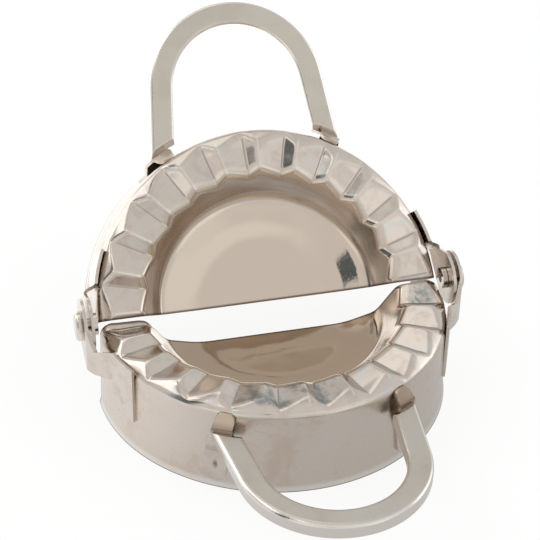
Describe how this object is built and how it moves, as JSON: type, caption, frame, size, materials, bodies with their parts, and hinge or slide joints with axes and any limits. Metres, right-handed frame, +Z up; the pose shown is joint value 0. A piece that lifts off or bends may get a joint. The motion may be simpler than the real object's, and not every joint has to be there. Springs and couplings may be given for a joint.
{
  "type": "empanada press",
  "caption": "Half-round fluted press halves with half bowls, hinged on side rivets; U-shaped bar handles sit on bowed brackets. Shown half open.",
  "frame": {"origin": "on the table, straight below the middle of the hinge axis", "axes": "+Z up from the table, -Y towards the front handle, +X along the hinge axis to the right"},
  "size_m": [0.106, 0.1409, 0.0864],
  "materials": {
    "shell_steel": "polished",
    "bar_steel": "satin",
    "sheet_steel": "polished",
    "rivet_steel": "polished"
  },
  "bodies": {
    "front_half": {"front_shell": "shell_steel", "front_handle": "bar_steel", "front_bracket_left": "sheet_steel", "front_bracket_right": "sheet_steel", "front_strap_left": "sheet_steel", "front_strap_right": "sheet_steel", "rivet_left": "rivet_steel", "rivet_right": "rivet_steel"},
    "back_half": {"back_shell": "shell_steel", "back_handle": "bar_steel", "back_bracket_left": "sheet_steel", "back_bracket_right": "sheet_steel", "back_strap_left": "sheet_steel", "back_strap_right": "sheet_steel"}
  },
  "joints": [
    {"name": "fold_hinge", "type": "hinge", "parent": "front_half", "child": "back_half", "pos_m": [0, 0, 0.0255], "axis": [1, 0, 0], "range_deg": [-51.7, 125]}
  ]
}
